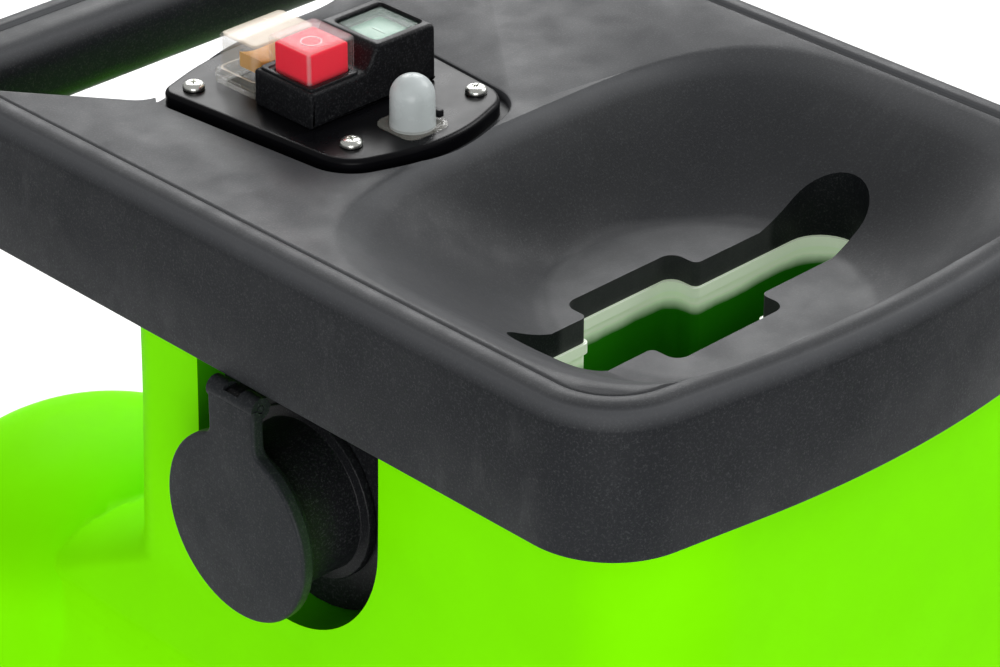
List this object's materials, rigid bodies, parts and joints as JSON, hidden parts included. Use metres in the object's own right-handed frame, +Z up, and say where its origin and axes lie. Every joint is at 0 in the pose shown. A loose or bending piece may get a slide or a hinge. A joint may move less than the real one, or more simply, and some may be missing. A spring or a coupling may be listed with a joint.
{
  "type": "garden shredder",
  "caption": "Upright electric garden shredder: dished feed cover with a cross-shaped slot, control panel, handle bar, green hopper body, cutter, discharge chute, tube frame and wheels.",
  "frame": {"origin": "on the ground, under the middle of the machine's outer box", "axes": "+Z up; -Y is the front, where the feed dish and the discharge chute are; +Y is the handle and wheel side; the power inlet is on -X"},
  "size_m": [0.464, 0.62, 0.9943],
  "materials": {
    "cover": "moulded matte black",
    "green": "satin lime green",
    "panel": "semi-gloss black",
    "black": "fine matte black",
    "red": "glossy red",
    "start": "glossy green",
    "amber": "translucent amber",
    "clear": "clear film",
    "silicone": "milky translucent",
    "zinc": "bright zinc plated",
    "steel": "ground steel",
    "brass": "bright",
    "cast": "cast",
    "rubber": "matte"
  },
  "bodies": {
    "chassis": {"cutter_housing": "cover", "motor_casing": "cast", "bearing_lower": "steel", "bearing_upper": "steel", "motor_cover": "black", "discharge_chute": "cover", "side_frame_left": "cover", "side_frame_right": "cover", "cross_bar": "cover", "foot_left": "rubber", "foot_right": "rubber", "axle": "steel", "chassis_hinge_leaf": "steel", "hopper_hinge_pin": "steel"},
    "hopper": {"top_cover": "cover", "control_panel": "panel", "switch_housing": "black", "stop_cover": "clear", "start_cover": "clear", "switch_block": "black", "rocker_frame": "clear", "rocker_cap": "clear", "rocker_switch": "black", "reset_boot": "silicone", "overload_breaker": "black", "hopper_body": "green", "feed_chute": "green", "inlet_plate": "black", "inlet_socket": "black", "inlet_pin_1": "brass", "inlet_pin_2": "brass", "inlet_pin_3": "brass", "cap_hinge_pin": "steel", "hopper_hinge_leaf": "steel", "panel_screw_1": "zinc", "panel_screw_2": "zinc", "panel_screw_3": "zinc", "panel_screw_4": "zinc"},
    "stop_button": {"stop_button": "red"},
    "start_button": {"start_button": "start"},
    "direction_rocker": {"direction_rocker": "amber"},
    "reset_button": {"reset_button": "black"},
    "inlet_cap": {"inlet_cap": "cover"},
    "lock_knob": {"lock_knob": "black"},
    "rotor": {"motor_shaft": "steel", "cutter_disc": "steel", "knife_1": "steel", "knife_2": "steel", "knife_screw_1": "zinc", "knife_screw_2": "zinc", "disc_bolt": "zinc", "rotor_core": "steel", "cooling_fan": "black"},
    "wheel_left": {"wheel_left": "cover", "tyre_left": "rubber", "axle_cap_left": "green"},
    "wheel_right": {"wheel_right": "cover", "tyre_right": "rubber", "axle_cap_right": "green"}
  },
  "joints": [
    {"name": "hopper_tilt", "type": "hinge", "parent": "chassis", "child": "hopper", "pos_m": [0, 0.299, 0.48], "axis": [-1, 0, 0], "range_deg": [0, 75]},
    {"name": "stop_press", "type": "slide", "parent": "hopper", "child": "stop_button", "axis": [0, 0, -1], "range_m": [0, 0.004], "stiffness_N_per_m": 300, "springref_m": -0.002},
    {"name": "start_press", "type": "slide", "parent": "hopper", "child": "start_button", "axis": [0, 0, -1], "range_m": [0, 0.004], "stiffness_N_per_m": 300, "springref_m": -0.002},
    {"name": "rocker_tilt", "type": "hinge", "parent": "hopper", "child": "direction_rocker", "pos_m": [-0.052, 0.1025, 0.9713], "axis": [0, 1, 0], "range_deg": [-12, 12]},
    {"name": "reset_press", "type": "slide", "parent": "hopper", "child": "reset_button", "axis": [0, 0, -1], "range_m": [0, 0.0025], "stiffness_N_per_m": 300, "springref_m": -0.002},
    {"name": "cap_flap", "type": "hinge", "parent": "hopper", "child": "inlet_cap", "pos_m": [-0.1522, 0.0095, 0.8912], "axis": [0, 1, 0], "range_deg": [0, 85]},
    {"name": "lock_turn", "type": "hinge", "parent": "hopper", "child": "lock_knob", "pos_m": [0, -0.249, 0.48], "axis": [0, 0, 1], "continuous": true},
    {"name": "rotor_spin", "type": "hinge", "parent": "chassis", "child": "rotor", "pos_m": [0, 0.015, 0.4357], "axis": [0, 0, 1], "continuous": true},
    {"name": "wheel_left_spin", "type": "hinge", "parent": "chassis", "child": "wheel_left", "pos_m": [-0.1865, 0.21, 0.1], "axis": [1, 0, 0], "continuous": true},
    {"name": "wheel_right_spin", "type": "hinge", "parent": "chassis", "child": "wheel_right", "pos_m": [0.1865, 0.21, 0.1], "axis": [1, 0, 0], "continuous": true}
  ]
}
